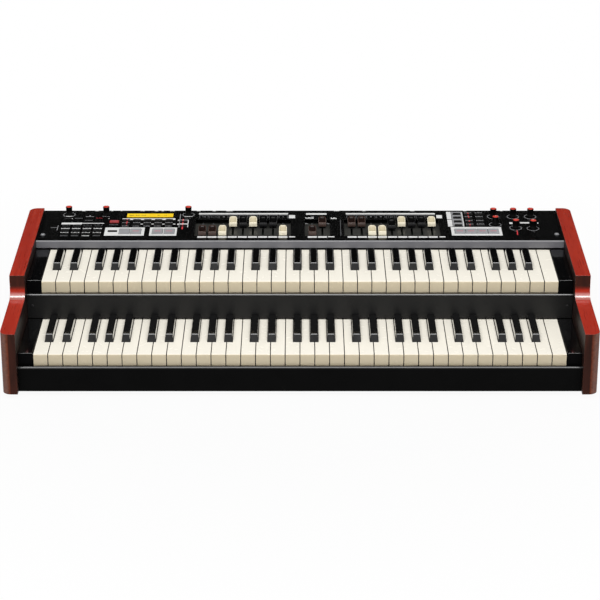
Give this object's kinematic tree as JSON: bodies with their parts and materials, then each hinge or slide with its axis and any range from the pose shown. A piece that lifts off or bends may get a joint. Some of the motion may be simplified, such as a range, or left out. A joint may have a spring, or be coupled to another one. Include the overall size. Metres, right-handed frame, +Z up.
{
  "type": "two-manual stage organ",
  "caption": "Portable stage organ with two keyboards, drawbars, knobs and buttons between stepped wooden cheeks.",
  "frame": {"origin": "middle of the box around the organ, on the ground under its feet", "axes": "+X to the right as the player sees it, along the keyboards; +Y to the back; +Z up"},
  "size_m": [0.943, 0.453, 0.1689],
  "materials": {
    "cheek_wood": "red-stained wood under satin lacquer",
    "case_steel": "satin black paint",
    "fascia_black": "satin black",
    "panel_black": "satin black with white print",
    "trim_grey": "satin grey",
    "keybed_steel": "zinc plated",
    "natural_ivory": "gloss ivory white",
    "sharp_black": "satin black",
    "key_block_black": "satin black",
    "moulding_black": "matt black",
    "brown_cap": "gloss brown",
    "cream_cap": "gloss cream",
    "black_cap": "gloss black",
    "knob_black": "matt black with a red top",
    "button_rubber": "matt black and grey",
    "display_amber": "lit yellow display behind clear glass",
    "board_green": "green circuit board",
    "foot_rubber": "matt black"
  },
  "bodies": {
    "case": {"left_cheek": "cheek_wood", "right_cheek": "cheek_wood", "base_tray": "case_steel", "middle_fascia": "fascia_black", "rear_panel": "case_steel", "jack_block": "moulding_black", "power_inlet": "moulding_black", "power_supply": "board_green", "front_left_foot": "foot_rubber", "front_right_foot": "foot_rubber", "rear_left_foot": "foot_rubber", "rear_right_foot": "foot_rubber", "lower_keybed": "keybed_steel", "lower_left_key_block": "key_block_black", "lower_right_key_block": "key_block_black", "upper_keybed": "keybed_steel", "upper_left_key_block": "key_block_black", "upper_right_key_block": "key_block_black", "panel_trim": "trim_grey", "control_panel": "panel_black", "display_window": "display_amber", "drawbar_tray": "moulding_black", "panel_board": "board_green"},
    "lower_naturals": {"lower_naturals": "natural_ivory"},
    "lower_sharps": {"lower_sharps": "sharp_black"},
    "upper_naturals": {"upper_naturals": "natural_ivory"},
    "upper_sharps": {"upper_sharps": "sharp_black"},
    "function_buttons": {"function_buttons": "button_rubber"},
    "preset_buttons": {"preset_buttons": "button_rubber"},
    "effect_buttons": {"effect_buttons": "button_rubber"},
    "upper_drawbar_1": {"upper_drawbar_1": "brown_cap"},
    "upper_drawbar_2": {"upper_drawbar_2": "brown_cap"},
    "upper_drawbar_3": {"upper_drawbar_3": "cream_cap"},
    "upper_drawbar_4": {"upper_drawbar_4": "cream_cap"},
    "upper_drawbar_5": {"upper_drawbar_5": "black_cap"},
    "upper_drawbar_6": {"upper_drawbar_6": "cream_cap"},
    "upper_drawbar_7": {"upper_drawbar_7": "black_cap"},
    "upper_drawbar_8": {"upper_drawbar_8": "black_cap"},
    "upper_drawbar_9": {"upper_drawbar_9": "cream_cap"},
    "pedal_drawbar_1": {"pedal_drawbar_1": "brown_cap"},
    "pedal_drawbar_2": {"pedal_drawbar_2": "brown_cap"},
    "lower_drawbar_1": {"lower_drawbar_1": "brown_cap"},
    "lower_drawbar_2": {"lower_drawbar_2": "brown_cap"},
    "lower_drawbar_3": {"lower_drawbar_3": "cream_cap"},
    "lower_drawbar_4": {"lower_drawbar_4": "cream_cap"},
    "lower_drawbar_5": {"lower_drawbar_5": "black_cap"},
    "lower_drawbar_6": {"lower_drawbar_6": "cream_cap"},
    "lower_drawbar_7": {"lower_drawbar_7": "black_cap"},
    "lower_drawbar_8": {"lower_drawbar_8": "black_cap"},
    "lower_drawbar_9": {"lower_drawbar_9": "cream_cap"},
    "volume_knob": {"volume_knob": "knob_black"},
    "drive_knob": {"drive_knob": "knob_black"},
    "value_knob": {"value_knob": "knob_black"},
    "bass_knob": {"bass_knob": "knob_black"},
    "mid_knob": {"mid_knob": "knob_black"},
    "treble_knob": {"treble_knob": "knob_black"},
    "reverb_knob": {"reverb_knob": "knob_black"},
    "percussion_knob": {"percussion_knob": "knob_black"},
    "vibrato_knob": {"vibrato_knob": "knob_black"},
    "power_switch": {"power_switch": "moulding_black"}
  },
  "joints": [
    {"name": "lower_naturals_turn", "type": "hinge", "parent": "case", "child": "lower_naturals", "pos_m": [0, -0.012, 0.056], "axis": [1, 0, 0], "range_deg": [0, 2.97], "stiffness_Nm_per_rad": 16, "springref_deg": -13.18},
    {"name": "lower_sharps_turn", "type": "hinge", "parent": "case", "child": "lower_sharps", "pos_m": [0, -0.034, 0.056], "axis": [1, 0, 0], "range_deg": [0, 3.87], "stiffness_Nm_per_rad": 7, "springref_deg": -14.32},
    {"name": "upper_naturals_turn", "type": "hinge", "parent": "case", "child": "upper_naturals", "pos_m": [0, 0.1344, 0.1215], "axis": [1, 0, 0], "range_deg": [0, 2.97], "stiffness_Nm_per_rad": 16, "springref_deg": -13.18},
    {"name": "upper_sharps_turn", "type": "hinge", "parent": "case", "child": "upper_sharps", "pos_m": [0, 0.1124, 0.1215], "axis": [1, 0, 0], "range_deg": [0, 3.87], "stiffness_Nm_per_rad": 7, "springref_deg": -14.32},
    {"name": "function_buttons_slide", "type": "slide", "parent": "case", "child": "function_buttons", "axis": [0, 0.0286, -0.9996], "range_m": [0, 0.001], "stiffness_N_per_m": 1500, "springref_m": -0.003},
    {"name": "preset_buttons_slide", "type": "slide", "parent": "case", "child": "preset_buttons", "axis": [0, 0.0286, -0.9996], "range_m": [0, 0.001], "stiffness_N_per_m": 1500, "springref_m": -0.003},
    {"name": "effect_buttons_slide", "type": "slide", "parent": "case", "child": "effect_buttons", "axis": [0, 0.0286, -0.9996], "range_m": [0, 0.001], "stiffness_N_per_m": 1500, "springref_m": -0.003},
    {"name": "upper_drawbar_1_slide", "type": "slide", "parent": "case", "child": "upper_drawbar_1", "axis": [0, -0.9996, -0.0286], "range_m": [-0.0407, 0]},
    {"name": "upper_drawbar_2_slide", "type": "slide", "parent": "case", "child": "upper_drawbar_2", "axis": [0, -0.9996, -0.0286], "range_m": [-0.0407, 0]},
    {"name": "upper_drawbar_3_slide", "type": "slide", "parent": "case", "child": "upper_drawbar_3", "axis": [0, -0.9996, -0.0286], "range_m": [-0.0407, 0]},
    {"name": "upper_drawbar_4_slide", "type": "slide", "parent": "case", "child": "upper_drawbar_4", "axis": [0, -0.9996, -0.0286], "range_m": [0, 0.0407]},
    {"name": "upper_drawbar_5_slide", "type": "slide", "parent": "case", "child": "upper_drawbar_5", "axis": [0, -0.9996, -0.0286], "range_m": [0, 0.0407]},
    {"name": "upper_drawbar_6_slide", "type": "slide", "parent": "case", "child": "upper_drawbar_6", "axis": [0, -0.9996, -0.0286], "range_m": [0, 0.0407]},
    {"name": "upper_drawbar_7_slide", "type": "slide", "parent": "case", "child": "upper_drawbar_7", "axis": [0, -0.9996, -0.0286], "range_m": [0, 0.0407]},
    {"name": "upper_drawbar_8_slide", "type": "slide", "parent": "case", "child": "upper_drawbar_8", "axis": [0, -0.9996, -0.0286], "range_m": [0, 0.0407]},
    {"name": "upper_drawbar_9_slide", "type": "slide", "parent": "case", "child": "upper_drawbar_9", "axis": [0, -0.9996, -0.0286], "range_m": [-0.0407, 0]},
    {"name": "pedal_drawbar_1_slide", "type": "slide", "parent": "case", "child": "pedal_drawbar_1", "axis": [0, -0.9996, -0.0286], "range_m": [-0.0407, 0]},
    {"name": "pedal_drawbar_2_slide", "type": "slide", "parent": "case", "child": "pedal_drawbar_2", "axis": [0, -0.9996, -0.0286], "range_m": [0, 0.0407]},
    {"name": "lower_drawbar_1_slide", "type": "slide", "parent": "case", "child": "lower_drawbar_1", "axis": [0, -0.9996, -0.0286], "range_m": [0, 0.0407]},
    {"name": "lower_drawbar_2_slide", "type": "slide", "parent": "case", "child": "lower_drawbar_2", "axis": [0, -0.9996, -0.0286], "range_m": [0, 0.0407]},
    {"name": "lower_drawbar_3_slide", "type": "slide", "parent": "case", "child": "lower_drawbar_3", "axis": [0, -0.9996, -0.0286], "range_m": [-0.0407, 0]},
    {"name": "lower_drawbar_4_slide", "type": "slide", "parent": "case", "child": "lower_drawbar_4", "axis": [0, -0.9996, -0.0286], "range_m": [-0.0407, 0]},
    {"name": "lower_drawbar_5_slide", "type": "slide", "parent": "case", "child": "lower_drawbar_5", "axis": [0, -0.9996, -0.0286], "range_m": [-0.01221, 0.02849]},
    {"name": "lower_drawbar_6_slide", "type": "slide", "parent": "case", "child": "lower_drawbar_6", "axis": [0, -0.9996, -0.0286], "range_m": [0, 0.0407]},
    {"name": "lower_drawbar_7_slide", "type": "slide", "parent": "case", "child": "lower_drawbar_7", "axis": [0, -0.9996, -0.0286], "range_m": [0, 0.0407]},
    {"name": "lower_drawbar_8_slide", "type": "slide", "parent": "case", "child": "lower_drawbar_8", "axis": [0, -0.9996, -0.0286], "range_m": [0, 0.0407]},
    {"name": "lower_drawbar_9_slide", "type": "slide", "parent": "case", "child": "lower_drawbar_9", "axis": [0, -0.9996, -0.0286], "range_m": [0, 0.0407]},
    {"name": "volume_knob_turn", "type": "hinge", "parent": "case", "child": "volume_knob", "pos_m": [-0.40149, 0.20427, 0.15323], "axis": [0, -0.0286, 0.9996], "range_deg": [-150, 150]},
    {"name": "drive_knob_turn", "type": "hinge", "parent": "case", "child": "drive_knob", "pos_m": [-0.33677, 0.20413, 0.15323], "axis": [0, -0.0286, 0.9996], "range_deg": [-150, 150]},
    {"name": "value_knob_turn", "type": "hinge", "parent": "case", "child": "value_knob", "pos_m": [-0.19399, 0.20385, 0.15322], "axis": [0, -0.0286, 0.9996], "continuous": true},
    {"name": "bass_knob_turn", "type": "hinge", "parent": "case", "child": "bass_knob", "pos_m": [0.33534, 0.19474, 0.15296], "axis": [0, -0.0286, 0.9996], "range_deg": [-150, 150]},
    {"name": "mid_knob_turn", "type": "hinge", "parent": "case", "child": "mid_knob", "pos_m": [0.36958, 0.19453, 0.15295], "axis": [0, -0.0286, 0.9996], "range_deg": [-150, 150]},
    {"name": "treble_knob_turn", "type": "hinge", "parent": "case", "child": "treble_knob", "pos_m": [0.39962, 0.19453, 0.15295], "axis": [0, -0.0286, 0.9996], "range_deg": [-150, 150]},
    {"name": "reverb_knob_turn", "type": "hinge", "parent": "case", "child": "reverb_knob", "pos_m": [0.33614, 0.15795, 0.1519], "axis": [0, -0.0286, 0.9996], "range_deg": [-150, 150]},
    {"name": "percussion_knob_turn", "type": "hinge", "parent": "case", "child": "percussion_knob", "pos_m": [0.36994, 0.14292, 0.15147], "axis": [0, -0.0286, 0.9996], "range_deg": [-150, 150]},
    {"name": "vibrato_knob_turn", "type": "hinge", "parent": "case", "child": "vibrato_knob", "pos_m": [0.39935, 0.1407, 0.15141], "axis": [0, -0.0286, 0.9996], "range_deg": [-150, 150]},
    {"name": "power_switch_turn", "type": "hinge", "parent": "case", "child": "power_switch", "pos_m": [0.34866, 0.22285, 0.05229], "axis": [1, 0, 0], "range_deg": [0, 16]}
  ]
}
